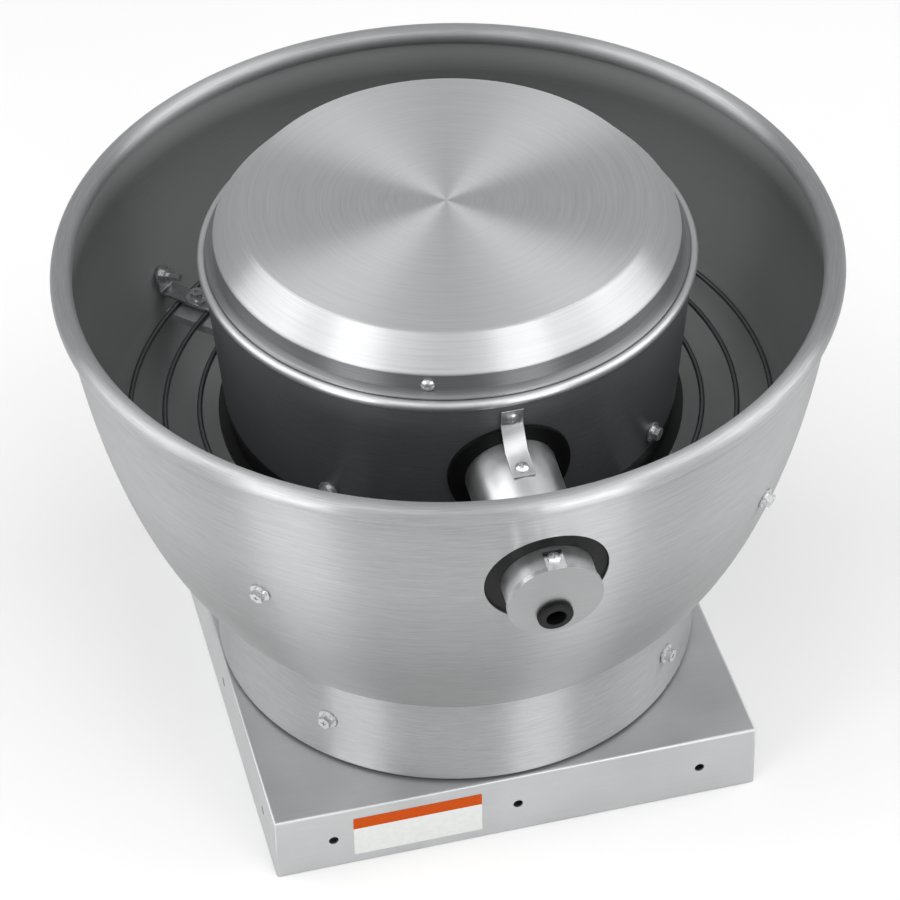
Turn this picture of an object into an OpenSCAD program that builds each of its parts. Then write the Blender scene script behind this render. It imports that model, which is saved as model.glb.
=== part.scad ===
// Upblast roof exhaust fan: a spun windband on a square curb cap, with a
// backward inclined wheel under a closed motor tub and a lift-off cap.
// Millimetres, +Z up, origin at the centre of the curb cap's lower edge.

/* [Curb cap] */
// Outer width of the square curb cap
curb_w = 412; // [410:1:480]
// Height of the curb cap's skirt
curb_h = 62; // [50:1:90]
// Sheet thickness of the curb cap
curb_t = 1.5; // [1:0.1:2]
// Outside radius of the curb cap's folds
curb_bend = 2.6; // [2.2:0.1:5]
// Distance of the outer side holes from the middle of a side
side_hole_pitch = 157; // [100:1:180]
// Height of the side holes above the lower edge
side_hole_z = 30; // [12:1:42]
// Diameter of the side holes
side_hole_d = 8.2; // [5:0.1:12]

/* [Inlet cone] */
// Inside diameter of the inlet cone's throat
throat_d = 216; // [190:1:220]
// Radial width of the inlet cone's bell mouth
bell_w = 44; // [30:1:48]
// Height of the inlet cone's bell mouth
bell_h = 57; // [40:1:75]
// Sheet thickness of the inlet cone
cone_t = 1.2; // [1:0.1:2]

/* [Drum] */
// Outer diameter of the drum
drum_d = 408; // [400:1:408]
// Height of the drum above the curb cap
drum_h = 94; // [85:1:120]
// Sheet thickness of the drum
drum_t = 1.5; // [1:0.1:2]
// Outside bend radius at the foot of the drum
drum_bend = 5; // [3:0.5:8]
// Height of the drum bolts above the curb cap
drum_bolt_z = 47; // [40:1:60]

/* [Windband] */
// Overall diameter over the rolled rim
rim_d = 632; // [620:1:680]
// Height of the windband's wall from its neck to the rolled rim
band_h = 285; // [270:1:320]
// Diameter of the rolled rim's bead
bead_d = 17.5; // [12:0.5:22]
// Sheet thickness of the windband
band_t = 1.5; // [1:0.1:2]
// How far the windband's neck stands out from the drum
neck_out = 8.4; // [6:0.1:12]
// Steepness of the wall at the neck, degrees along its ellipse
neck_angle = 70; // [60:1:74]
// Steepness of the wall at the rim, degrees along its ellipse
rim_angle = 15; // [5:1:25]
// Depth of the windband's collar inside the drum
collar_h = 62; // [56:1:70]
// Height of the windband's bolts above the support arms
band_bolt_up = 18; // [16:1:24]

/* [Conduit] */
// Outer diameter of the conduit tube
tube_d = 72; // [60:1:76]
// Wall of the conduit tube
tube_t = 1.2; // [1:0.1:2]
// Downward slope of the conduit towards its outer end, degrees
tube_slope = 8.5; // [6:0.5:10]
// Height of the conduit's axis above the tub's lower edge, at the tub's wall
tube_up = 54; // [50:0.5:60]
// Distance of the conduit's outer end from the fan's axis, along the conduit
tube_reach = 319; // [317:1:350]
// Diameter of the hole that the windband leaves for the conduit
band_hole_d = 98; // [90:1:106]
// Width of the conduit's strap
strap_w = 18; // [12:1:24]
// Bore of the cable grommet
gland_d = 16; // [8:0.5:17]

/* [Motor tub] */
// Outer diameter at the tub's lower edge
tub_foot_d = 370; // [364:1:374]
// Outer diameter over the tub's rolled rim
tub_rim_d = 398; // [392:1:404]
// Height of the tub from its lower edge to the middle of its rolled rim
tub_h = 130; // [126:1:150]
// Diameter of the tub rim's bead
tub_bead_d = 8.5; // [7:0.5:10]
// Sheet thickness of the tub
tub_t = 1.2; // [1:0.1:2]
// Gap between the motor deck and the tub's lower edge
tub_gap = 25.5; // [15:0.5:30]
// Height of the tub's bolts above its lower edge
tub_bolt_up = 16; // [12:1:20]
// How far the motor deck's flange stands out from the tub's lower edge
deck_lip = 5.5; // [3:0.5:8]
// Sheet thickness of the motor deck
deck_t = 2.5; // [2:0.1:4]

/* [Cap] */
// Diameter of the cap's flat top
cap_top_d = 328; // [300:1:340]
// Diameter of the cap's shoulder
cap_d = 371; // [366:1:374]
// Height of the cap's sloping shoulder
cap_cone_h = 24; // [15:1:35]
// Height of the cap's skirt, down to its turned brim
cap_skirt_h = 15; // [12:0.5:17]
// How far the cap's brim turns outwards
cap_brim = 7.5; // [6:0.5:8]
// Sheet thickness of the cap
cap_t = 1.2; // [1:0.1:2]
// Direction of the cap's screw, degrees from +X
cap_screw_angle = -109; // [-150:1:-95]

/* [Support arms] */
// Height of the arms' upper face above the windband's neck
arm_lift = 144; // [140:1:160]
// Width of a support arm
arm_w = 40; // [30:1:50]
// Depth of a support arm
arm_h = 8; // [7:0.5:9]
// Sheet thickness of the arms
arm_t = 2; // [1.5:0.1:2.5]
// Number of guard rings
guard_n = 3; // [2:1:4]
// Wire diameter of the guard rings
guard_wire = 4.5; // [2.5:0.5:5]
// Width of a support bracket
bracket_w = 17; // [14:1:22]
// Sheet thickness of the brackets
bracket_t = 3; // [2:0.1:4]

/* [Fan wheel] */
// Diameter of the fan wheel
wheel_d = 330; // [310:1:350]
// Overall height of the fan wheel
wheel_h = 126; // [110:1:130]
// Height of the blades at the wheel's outer edge
blade_tip_h = 76; // [60:1:84]
// Number of blades
blade_n = 9; // [6:1:12]
// Blade angle against the wheel's rim, degrees
blade_angle = 38; // [30:1:45]
// Sheet thickness of the wheel
wheel_t = 2; // [1.5:0.1:3]
// Running gap between the inlet cone and the wheel's inlet ring
inlet_gap = 4; // [3:0.1:6]

/* [Motor] */
// Outer diameter of the motor's housing, without its ribs
motor_d = 140; // [120:1:144]
// Height of the motor's housing between its end bells
motor_h = 76; // [66:1:80]
// Diameter of the motor's shaft
shaft_d = 16; // [12:1:18]
// Running clearance around the shaft
shaft_clear = 0.04; // [0.02:0.01:0.08]

/* [Hidden] */
$fn = 96;
fine = 160;
seat = 0.15;
ease = 0.3;
hole_ease = 0.3;
diag = [45, 135, 225, 315];

// M6 bolts with a cross recess, sold with a spring washer and a plain washer
m6_r = 3;
m6_flat = 10;
m6_hex = 4.4;
m6_washer_r = 8.5;
m6_washer_t = 1.3;
m6_spring_r = 5.6;
m6_spring_t = 1.5;
m6_nut = 5;
washer_r = 9.2;
washer_t = 1.6;
// Small pan-head screws and rivets
pan_r = 5;
pan_h = 2.8;
pan_shank_r = 2;
rivet_r = 2.4;
rivet_head_r = 4.4;
rivet_head_h = 1.4;
sink_r = 4;
sink_h = 1.1;

// Heights of the drum and the windband
drum_r = drum_d / 2;
drum_top = curb_h + drum_h;
neck_z = drum_top + ease + band_t;
wall_top = neck_z + band_h;
collar_r = drum_r - drum_t - seat;
bolt_z_drum = curb_h + drum_bolt_z;

// The windband's wall is part of an ellipse between its neck and its rim
bead_r = bead_d / 2;
bead_mid_r = rim_d / 2 - bead_r;
bead_z = wall_top + bead_r;
wall_r = bead_mid_r + band_t / 2;
neck_r = drum_r + neck_out;
arc_a = (wall_r - neck_r) / (cos(rim_angle) - cos(neck_angle));
arc_b = band_h / (sin(neck_angle) - sin(rim_angle));
arc_r = wall_r - arc_a * cos(rim_angle);
arc_z = wall_top + arc_b * sin(rim_angle);
function arc_at(z) = asin((arc_z - z) / arc_b);
function band_r(z) = arc_r + arc_a * cos(arc_at(z));
function band_tilt(z) = atan2(sin(arc_at(z)) / arc_b, cos(arc_at(z)) / arc_a);
function arc_point(t, depth) =
    let (n = [cos(t) / arc_a, -sin(t) / arc_b])
    [arc_r + arc_a * cos(t), arc_z - arc_b * sin(t)] - depth * n / norm(n);
arc_steps = 30;
arc_turn = (neck_angle - rim_angle) / arc_steps;
function arc_line(depth) = [for (k = [0:arc_steps]) arc_point(neck_angle - arc_turn * k, depth)];
function reversed(list) = [for (k = [len(list) - 1:-1:0]) list[k]];

// Heights of the arms, the deck, the tub and the cap
arm_z = neck_z + arm_lift;
arm_out = band_r(arm_z) - 15;
arm_in = 100;
deck_z = arm_z + deck_t;
tub_z = deck_z + tub_gap;
tub_rim_z = tub_z + tub_h;
tub_bead_r = tub_bead_d / 2;
tub_bead_mid = tub_rim_d / 2 - tub_bead_r;
tub_top_r = tub_bead_mid + tub_t / 2;
tub_wall_h = tub_h - tub_bead_r;
tub_lean = atan((tub_top_r - tub_foot_d / 2) / tub_wall_h);
function tub_r(z) = tub_foot_d / 2 + (z - tub_z) * tan(tub_lean);
deck_r = tub_foot_d / 2 + deck_lip;
deck_wall_top = tub_z + 2 * tub_bolt_up;
bolt_z_tub = tub_z + tub_bolt_up;
bolt_z_band = arm_z + band_bolt_up;

// The guard's rings lie on the arms between the deck and the arms' ends
ring_z = arm_z + guard_wire / 2;
ring_first = deck_r + 15.5;
ring_last = arm_out - 5;
ring_step = (ring_last - ring_first) / (guard_n - 1);
leg_z = arm_z + guard_wire;
arm_screw_r = arm_out - 19;
leg_in = arm_screw_r - 20;

// The wheel hangs under the arms, and its inlet ring laps the inlet cone
wheel_top = arm_z - arm_h - 10;
wheel_z = wheel_top - wheel_h;
wheel_r = wheel_d / 2;
throat_r = throat_d / 2;
lap = 8;
cone_top = wheel_z + lap;
ring_in = throat_r + cone_t + inlet_gap;
bell_r = throat_r + bell_w;
bell_top = curb_h + bell_h + cone_t;
shaft_r = shaft_d / 2;
hub_r = shaft_r + 16;
hub_h = 34;
hub_flange_r = hub_r + 22;
hub_flange_t = 6;
thread_r = shaft_r - 2;
key_w = 5;
key_len = 24;
plate_z = wheel_top - wheel_t;

// The motor stands on the deck on four rubber feet
foot_h = 8;
motor_z = deck_z + foot_h;
bell_t = 8;
housing_z = motor_z + bell_t + 14;
housing_top = housing_z + motor_h;
motor_r = motor_d / 2;
foot_r = motor_r + 11;
bearing_r = 17.5;
bearing_h = 12;
bearing_z = motor_z + bell_t;
top_bearing_z = housing_top + 3;
motor_top = top_bearing_z + bearing_h + 6;
stator_r = motor_r - 4;

// The conduit leaves the tub along -Y and slopes down
tube_r = tube_d / 2;
tube_z = tub_z + tube_up;
tube_root = tub_r(tube_z);
band_hole_z = tube_z - (band_r(tube_z - 13) - tube_root) * tan(tube_slope);
gasket_r = tube_r + 13;
gasket_t = 3;
tub_hole_r = tube_r + 7;
gasket_in_r = tub_hole_r + 3;
gland_r = gland_d / 2 + 3.6;
gland_drop = 16;
band_gasket_t = 3;
band_gasket_r = band_hole_d / 2 + 7;
tube_in = tube_root - 42;
box_w = 2 * tube_r + 22;
box_y0 = tube_in + 6;
box_d = 56;
box_top = tube_z + tube_r + 14;
box_t = 1.5;

// The cap's brim rests on the tub's rolled rim
brim_z = tub_rim_z + tub_bead_r + ease;
brim_h = cap_brim * 0.44;
shoulder_z = brim_z + brim_h + cap_skirt_h;
cap_top = shoulder_z + cap_cone_h;
cap_r = cap_d / 2;
cap_screw_r = 5.2;
cap_screw_z = brim_z + brim_h + cap_screw_r + 0.2;
clip_w = 16;
clip_t = 1.5;
ledge_z = brim_z - ease;
clip_out = tub_bead_mid - tub_bead_r - 0.4;
clip_in = cap_r - cap_t - 1.6;
clip_low = tub_z + (clip_out + seat + tub_t / cos(tub_lean) - tub_foot_d / 2) / tan(tub_lean);

// Shared forms
module tube(outer, inner, h) {
    difference() {
        cylinder(r = outer, h = h);
        translate([0, 0, -1]) cylinder(r = inner, h = h + 2);
    }
}

// Stands children on a wall of revolution: their +Z points out of the wall
module on_wall(angle, r, z, tilt) {
    rotate([0, 0, angle]) translate([r, 0, z]) rotate([0, 90 + tilt, 0]) children();
}

// Lays children along the conduit: +Z runs outwards along its axis
module on_conduit() {
    translate([0, -tube_root, tube_z]) rotate([90 + tube_slope, 0, 0])
        translate([0, 0, -tube_root]) children();
}

module hexagon(flat, h) {
    cylinder(r = flat / sqrt(3), h = h, $fn = 6);
}

// A hexagon head with a cross recess on its spring washer
module hex_head() {
    cylinder(r = m6_spring_r, h = m6_spring_t);
    translate([0, 0, m6_spring_t]) difference() {
        hexagon(m6_flat, m6_hex);
        translate([-2.4, -0.5, m6_hex - 1.6]) cube([4.8, 1, 3]);
        translate([-0.5, -2.4, m6_hex - 1.6]) cube([1, 4.8, 3]);
    }
}

// A bolt with the underside of its plain washer at z = 0
module washer_bolt(length) {
    cylinder(r = m6_washer_r, h = m6_washer_t);
    translate([0, 0, m6_washer_t]) hex_head();
    translate([0, 0, -length]) cylinder(r = m6_r, h = length + 1);
}

module hex_nut(bore = m6_r + 0.05, flat = m6_flat, h = m6_nut) {
    difference() {
        hexagon(flat, h);
        translate([0, 0, -1]) cylinder(r = bore, h = h + 2);
    }
}

module pan_screw(length, shank = pan_shank_r, head = pan_r, rise = pan_h) {
    difference() {
        intersection() {
            cylinder(r = head, h = rise);
            translate([0, 0, rise - 1.6 * head]) sphere(r = 1.6 * head);
        }
        translate([-head / 2, -0.5, rise - 1.4]) cube([head, 1, 2]);
        translate([-0.5, -head / 2, rise - 1.4]) cube([1, head, 2]);
    }
    translate([0, 0, -length]) cylinder(r = shank, h = length + 0.5);
}

// A rivet through a stack of sheet whose upper face is at z = 0
module rivet(stack) {
    cylinder(r = rivet_head_r, h = rivet_head_h);
    translate([0, 0, -stack - 0.05]) cylinder(r = rivet_r, h = stack + 1);
    translate([0, 0, -stack - rivet_head_h - 0.05]) cylinder(r = rivet_head_r, h = rivet_head_h);
}

// A rivet whose lower head is flush in a countersunk hole
module flush_rivet(stack) {
    cylinder(r = rivet_head_r, h = rivet_head_h);
    translate([0, 0, sink_h - stack]) cylinder(r = rivet_r, h = stack + 1 - sink_h);
    translate([0, 0, 0.05 - stack]) cylinder(r1 = sink_r, r2 = rivet_r, h = sink_h - 0.05);
}

// Curb cap: a folded square tray that fits over the roof curb
module folded_profile(w, h, r) {
    union() {
        translate([-w / 2, 0]) square([w, h - r]);
        translate([-w / 2 + r, 0]) square([w - 2 * r, h]);
        for (s = [-1, 1]) translate([s * (w / 2 - r), h - r]) circle(r = r);
    }
}

module tray_solid(w, h, r) {
    intersection() {
        rotate([90, 0, 0]) linear_extrude(height = w + 2, center = true) folded_profile(w, h, r);
        rotate([90, 0, 90]) linear_extrude(height = w + 2, center = true) folded_profile(w, h, r);
        linear_extrude(height = h + 2) union() {
            square([w - 2 * r, w], center = true);
            square([w, w - 2 * r], center = true);
            for (x = [-1, 1], y = [-1, 1]) translate([x, y] * (w / 2 - r)) circle(r = r);
        }
    }
}

cone_screw_r = bell_r + 16;
rivet_ring_r = drum_r - drum_bend - 8;

module curb_cap() {
    color("silver") difference() {
        tray_solid(curb_w, curb_h, curb_bend);
        translate([0, 0, -curb_t]) tray_solid(curb_w - 2 * curb_t, curb_h, curb_bend - curb_t);
        translate([0, 0, curb_h - 10]) cylinder(r = bell_r, h = 20);
        for (side = [0, 90], k = [-1, 0, 1])
            rotate([0, 0, side]) translate([k * side_hole_pitch, 0, side_hole_z])
                rotate([90, 0, 0]) cylinder(d = side_hole_d, h = curb_w + 10, center = true);
        for (k = [0:5]) rotate([0, 0, 60 * k + 30]) translate([cone_screw_r, 0, curb_h - 10])
            cylinder(r = pan_shank_r + hole_ease, h = 20);
        for (k = [0:7]) rotate([0, 0, 45 * k + 22.5]) translate([rivet_ring_r, 0, curb_h - curb_t]) {
            cylinder(r = rivet_r + 0.1, h = 20);
            cylinder(r1 = sink_r + 0.1, r2 = rivet_r + 0.1, h = sink_h);
        }
    }
}

// Inlet cone: a spun bell mouth whose flange lies on the curb cap
module inlet_cone() {
    color("gainsboro") difference() {
        rotate_extrude($fn = fine) polygon(concat(
            [for (k = [0:12]) let (s = 7.5 * k)
                [bell_r - bell_w * cos(s), bell_top - (bell_h + cone_t) * sin(s)]],
            [[cone_screw_r + 9, curb_h], [cone_screw_r + 9, curb_h + cone_t]],
            [for (k = [12:-1:0]) let (s = 7.5 * k)
                [bell_r - (bell_w - cone_t) * cos(s), bell_top - bell_h * sin(s)]],
            [[throat_r + cone_t, cone_top], [throat_r, cone_top]]));
        for (k = [0:5]) rotate([0, 0, 60 * k + 30]) translate([cone_screw_r, 0, curb_h - 1])
            cylinder(r = pan_shank_r + hole_ease, h = 10);
    }
}

module cone_screws() {
    color("lightgray") for (k = [0:5]) rotate([0, 0, 60 * k + 30])
        translate([cone_screw_r, 0, curb_h + cone_t]) pan_screw(8);
}

// Drum: a rolled sheet with its foot turned inwards on the curb cap
module base_drum() {
    foot = drum_r - drum_bend;
    color("silver") difference() {
        rotate_extrude($fn = fine) union() {
            translate([drum_r - drum_t, curb_h + drum_bend]) square([drum_t, drum_h - drum_bend]);
            translate([rivet_ring_r - 7, curb_h]) square([foot - rivet_ring_r + 7, drum_t]);
            intersection() {
                translate([foot, curb_h]) square(drum_bend);
                translate([foot, curb_h + drum_bend]) difference() {
                    circle(r = drum_bend);
                    circle(r = drum_bend - drum_t);
                }
            }
        }
        for (a = diag) on_wall(a, drum_r, bolt_z_drum, 0)
            cylinder(r = m6_r + hole_ease, h = 10, center = true);
        for (k = [0:7]) rotate([0, 0, 45 * k + 22.5]) translate([rivet_ring_r, 0, curb_h - 1])
            cylinder(r = rivet_r + 0.1, h = 10);
    }
}

module drum_rivets() {
    color("gray") for (k = [0:7]) rotate([0, 0, 45 * k + 22.5])
        translate([rivet_ring_r, 0, curb_h + drum_t]) flush_rivet(drum_t + curb_t);
}

module drum_bolts() {
    color("white") for (a = diag) on_wall(a, drum_r + seat, bolt_z_drum, 0) washer_bolt(13);
}

module drum_nuts() {
    color("white") for (a = diag)
        on_wall(a, collar_r - band_t - seat - m6_nut, bolt_z_drum, 0) hex_nut();
}

// Windband: the spun bowl, with a rolled rim and a collar inside the drum
module windband() {
    color("silver") difference() {
        rotate_extrude($fn = fine) union() {
            polygon(concat(
                [[collar_r - band_t, neck_z - collar_h], [collar_r, neck_z - collar_h],
                    [collar_r, neck_z - band_t], [neck_r - 0.6, neck_z - band_t]],
                arc_line(0),
                [[wall_r, wall_top + 0.7 * band_t], [wall_r - band_t, wall_top + 0.7 * band_t]],
                reversed(arc_line(band_t)),
                [[collar_r - band_t, neck_z]]));
            difference() {
                translate([bead_mid_r, bead_z]) circle(r = bead_r);
                translate([bead_mid_r, bead_z]) circle(r = bead_r - band_t);
                translate([bead_mid_r - 3.6, bead_z - bead_r]) square([1.4, 4]);
            }
        }
        for (a = diag) {
            on_wall(a, band_r(bolt_z_band), bolt_z_band, band_tilt(bolt_z_band))
                cylinder(r = m6_r + hole_ease, h = 10, center = true);
            on_wall(a, collar_r, bolt_z_drum, 0)
                cylinder(r = m6_r + hole_ease, h = 10, center = true);
        }
        on_conduit() translate([0, 0, band_r(band_hole_z) - 40]) cylinder(d = band_hole_d, h = 80);
    }
}

// Places children on the bracket bolts, +Z outwards, z = 0 on the wall's face
module at_band_bolts() {
    tilt = band_tilt(bolt_z_band);
    for (a = diag) on_wall(a, band_r(bolt_z_band), bolt_z_band, tilt) children();
}

module windband_bolts() {
    color("white") at_band_bolts() translate([0, 0, seat]) washer_bolt(24);
}

leg_gap = 0.4;
washer_seat = band_t + leg_gap + bracket_t;

module windband_nuts() {
    color("white") at_band_bolts() translate([0, 0, -washer_seat - washer_t - m6_nut]) hex_nut();
}

module bracket_washers() {
    color("lightgray") {
        at_band_bolts() translate([0, 0, -washer_seat - washer_t])
            tube(washer_r, m6_r + hole_ease, washer_t);
        for (a = diag) rotate([0, 0, a]) translate([arm_screw_r, 0, leg_z + bracket_t])
            tube(washer_r, m6_r + hole_ease, washer_t);
    }
}

// Angle bracket: one leg on the windband's wall, the other on the guard rings
module bracket_end() {
    translate([0, 0, -1]) difference() {
        translate([-bracket_w, -bracket_w, 0]) cube([bracket_w, 2 * bracket_w, bracket_t + 2]);
        translate([0, 0, -1]) cylinder(r = bracket_w / 2 + 0.15, h = bracket_t + 4);
    }
}

module support_brackets() {
    tilt = band_tilt(bolt_z_band);
    half = bracket_t / 2;
    up = [sin(tilt), cos(tilt)];
    out = [cos(tilt), -sin(tilt)];
    mid = [band_r(bolt_z_band), bolt_z_band] - (band_t + leg_gap + half) * out;
    top = mid + bracket_w / 2 * up;
    drop = (mid[1] - leg_z - half) / cos(tilt);
    inside = mid - drop * up - half * out + half * (1 - sin(tilt)) / cos(tilt) * up;
    color("gray") difference() {
        for (a = diag) rotate([90, 0, a]) linear_extrude(height = bracket_w, center = true)
            polygon(concat(
                [[leg_in, leg_z]],
                [for (k = [0:5]) let (turn = -90 + (90 - tilt) * k / 5)
                    inside + bracket_t * [cos(turn), sin(turn)]],
                [top + half * out, top - half * out, inside, [leg_in, leg_z + bracket_t]]));
        at_band_bolts() {
            translate([0, 0, -20]) cylinder(r = m6_r + hole_ease, h = 40);
            translate([0, 0, -washer_seat]) bracket_end();
        }
        for (a = diag) rotate([0, 0, a]) {
            translate([arm_screw_r, 0, leg_z - 5]) cylinder(r = m6_r + hole_ease, h = 20);
            translate([leg_in + bracket_w / 2, 0, leg_z]) bracket_end();
        }
    }
}

// Support arm: an inverted channel from under the deck to its bracket
module support_arms() {
    color("dimgray") for (a = diag) rotate([0, 0, a]) difference() {
        translate([arm_in, -arm_w / 2, arm_z - arm_h]) cube([arm_out - arm_in, arm_w, arm_h]);
        translate([arm_in - 1, -arm_w / 2 + arm_t, arm_z - arm_h - 1])
            cube([arm_out - arm_in + 2, arm_w - 2 * arm_t, arm_h + 1 - arm_t]);
        for (r = concat([arm_screw_r], deck_bolt_r)) translate([r, 0, arm_z - 10])
            cylinder(r = m6_r + hole_ease, h = 20);
    }
}

deck_bolt_r = [125, 165];

module arm_screws() {
    color("white") for (a = diag) rotate([0, 0, a])
        translate([arm_screw_r, 0, leg_z + bracket_t + washer_t]) {
            hex_head();
            translate([0, 0, -17]) cylinder(r = m6_r, h = 17.5);
        }
}

module arm_nuts() {
    color("white") for (a = diag) rotate([0, 0, a])
        for (r = concat([arm_screw_r], deck_bolt_r))
            translate([r, 0, arm_z - arm_t - m6_nut]) hex_nut();
}

// Guard rings: wire hoops laid across the arms
module guard_rings() {
    color("dimgray") for (k = [0:guard_n - 1])
        rotate_extrude($fn = fine) translate([ring_first + ring_step * k, ring_z])
            circle(d = guard_wire, $fn = 16);
}

// Motor deck: a pan whose wall stands inside the tub's lower edge
module motor_deck() {
    wall_out = tub_t / cos(tub_lean) + seat;
    wall_in = wall_out + 1.5 / cos(tub_lean);
    color([0.1, 0.1, 0.1]) difference() {
        union() {
            translate([0, 0, arm_z]) cylinder(r = deck_r, h = deck_t, $fn = fine);
            rotate_extrude($fn = fine) polygon([
                [tub_r(deck_z) - wall_in, deck_z - 0.5], [tub_r(deck_z) - wall_out, deck_z - 0.5],
                [tub_r(deck_z) - wall_out, deck_z], [tub_r(deck_wall_top) - wall_out, deck_wall_top],
                [tub_r(deck_wall_top) - wall_in, deck_wall_top], [tub_r(deck_z) - wall_in, deck_z]]);
        }
        translate([0, 0, arm_z - 1]) cylinder(r = seal_r, h = 10);
        for (a = diag) {
            rotate([0, 0, a]) for (r = concat([foot_r], deck_bolt_r))
                translate([r, 0, arm_z - 1]) cylinder(r = m6_r + hole_ease, h = 10);
            on_wall(a, tub_r(bolt_z_tub), bolt_z_tub, tub_lean)
                translate([0, 0, -20]) cylinder(r = m6_r + hole_ease, h = 25);
        }
        on_conduit() translate([0, 0, tube_root - 30]) cylinder(r = gasket_in_r + 1, h = 60);
    }
}

seal_r = shaft_r + 12;

module deck_bolts() {
    color("white") for (a = diag) rotate([0, 0, a]) for (r = deck_bolt_r)
        translate([r, 0, deck_z]) washer_bolt(12);
}

// Motor tub: the spun wall around the motor, with a rolled rim
module tub_shell(outer, inner, rise = 0) {
    top = tub_z + tub_wall_h + rise;
    rotate_extrude($fn = fine) polygon([
        [tub_r(tub_z) - inner, tub_z], [tub_r(tub_z) + outer, tub_z],
        [tub_r(top) + outer, top], [tub_r(top) - inner, top]]);
}

module motor_tub() {
    wall = tub_t / cos(tub_lean);
    color("gray") difference() {
        union() {
            tub_shell(0, wall, 0.7 * tub_t);
            rotate_extrude($fn = fine) translate([tub_bead_mid, tub_rim_z]) difference() {
                circle(r = tub_bead_r, $fn = 32);
                circle(r = tub_bead_r - tub_t, $fn = 32);
                translate([-2.4, -tub_bead_r]) square([0.9, 3]);
            }
        }
        for (a = diag) on_wall(a, tub_r(bolt_z_tub), bolt_z_tub, tub_lean)
            cylinder(r = m6_r + hole_ease, h = 8, center = true);
        on_conduit() translate([0, 0, tube_root - 30]) cylinder(r = tub_hole_r, h = 60);
        strap_hole();
    }
}

module tub_bolts() {
    color("white") for (a = diag)
        on_wall(a, tub_r(bolt_z_tub), bolt_z_tub, tub_lean) translate([0, 0, seat]) washer_bolt(14);
}

module tub_nuts() {
    color("white") for (a = diag) on_wall(a, tub_r(bolt_z_tub), bolt_z_tub, tub_lean)
        translate([0, 0, -tub_t - seat * 2 - 1.5 - m6_nut]) hex_nut();
}

// Cap clips: angle clips welded inside the tub, which take the cap's screw
module cap_clips() {
    color("silver") for (k = [0:3]) rotate([0, 0, cap_screw_angle + 90 * k]) difference() {
        union() {
            translate([clip_out - clip_t, -clip_w / 2, clip_low])
                cube([clip_t, clip_w, ledge_z - clip_low]);
            translate([clip_in - clip_t, -clip_w / 2, ledge_z - clip_t])
                cube([clip_out - clip_in + clip_t, clip_w, clip_t]);
            translate([clip_in - clip_t, -clip_w / 2, ledge_z - clip_t])
                cube([clip_t, clip_w, cap_screw_z + 5 - ledge_z + clip_t]);
        }
        translate([clip_in, 0, cap_screw_z]) rotate([0, 90, 0])
            cylinder(r = 2.9, h = 8, center = true);
        translate([clip_in - 4, -2.9, cap_screw_z]) cube([8, 5.8, 20]);
    }
}

// Conduit: the tube that brings outside air and the cable to the motor
module conduit_tube() {
    color("gainsboro") difference() {
        on_conduit() translate([0, 0, tube_in]) tube(tube_r, tube_r - tube_t, tube_reach - tube_in);
        on_conduit() {
            translate([0, 0, cover_screw_at]) rotate([-90, 0, 0]) cylinder(r = 2.2, h = 60);
            translate([0, 0, strap_screw_at]) rotate([-90, 0, 0]) cylinder(r = 2.2, h = 60);
        }
    }
}

cover_t = 1.2;
cover_r = tube_r + 1.6;
tab_w = 15;
tab_len = 18;
cover_screw_at = tube_reach - 9.5;
strap_screw_at = tube_root + 29.5;

// Gasket: the rubber collar that fills the tub's hole around the conduit
module conduit_gasket() {
    wall = tub_t / cos(tub_lean);
    color([0.08, 0.08, 0.08]) difference() {
        union() {
            intersection() {
                tub_shell(gasket_t + 0.05, -0.05);
                on_conduit() translate([0, 0, 60]) cylinder(r = gasket_r, h = 200);
            }
            intersection() {
                tub_shell(0.2, wall + 0.2);
                on_conduit() translate([0, 0, 60]) cylinder(r = tub_hole_r - 0.1, h = 200);
            }
            intersection() {
                tub_shell(-wall - 0.05, wall + 2);
                on_conduit() translate([0, 0, 60]) cylinder(r = gasket_in_r, h = 200);
            }
        }
        on_conduit() translate([0, 0, 40]) cylinder(r = tube_r + 0.05, h = 240);
        strap_hole();
    }
}

// Band gasket: the rubber ring behind the windband's hole, around the conduit
module band_gasket() {
    color([0.08, 0.08, 0.08]) intersection() {
        rotate_extrude($fn = fine) polygon(concat(
            arc_line(band_t + seat), reversed(arc_line(band_t + seat + band_gasket_t))));
        on_conduit() translate([0, 0, band_r(band_hole_z) - 40])
            tube(band_gasket_r, tube_r + 0.1, 80);
    }
}

// Strap: screwed to the tub's wall above the conduit and to the conduit
strap_t = 1.5;
strap_screw_z = tub_rim_z - tub_bead_r - 13;
module strap_hole() {
    on_wall(-90, tub_r(strap_screw_z), strap_screw_z, tub_lean)
        cylinder(r = pan_shank_r + 0.2, h = 16, center = true);
}

module conduit_strap() {
    top = strap_screw_z + 8;
    low = strap_screw_z - 7;
    y0 = tub_r(top) + seat;
    y1 = tub_r(low) + seat;
    knee = [strap_screw_at - 17, tube_r + seat];
    end = [strap_screw_at + 8, tube_r + seat];
    s = tube_slope;
    function world(p) = [tube_root + (p[0] - tube_root) * cos(s) + p[1] * sin(s),
        tube_z - (p[0] - tube_root) * sin(s) + p[1] * cos(s)];
    k = world(knee);
    e = world(end);
    lift = [strap_t * sin(s), strap_t * cos(s)];
    color("gainsboro") difference() {
        rotate([90, 0, -90]) linear_extrude(height = strap_w, center = true) polygon([
            [y0, top], [y1, low], k, e, e + lift, k + lift + [0.6, 0],
            [y1 + strap_t, low + 0.3], [y0 + strap_t, top]]);
        strap_hole();
        on_conduit() translate([0, 0, strap_screw_at]) rotate([-90, 0, 0])
            cylinder(r = pan_shank_r + 0.2, h = 60);
    }
}

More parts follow.
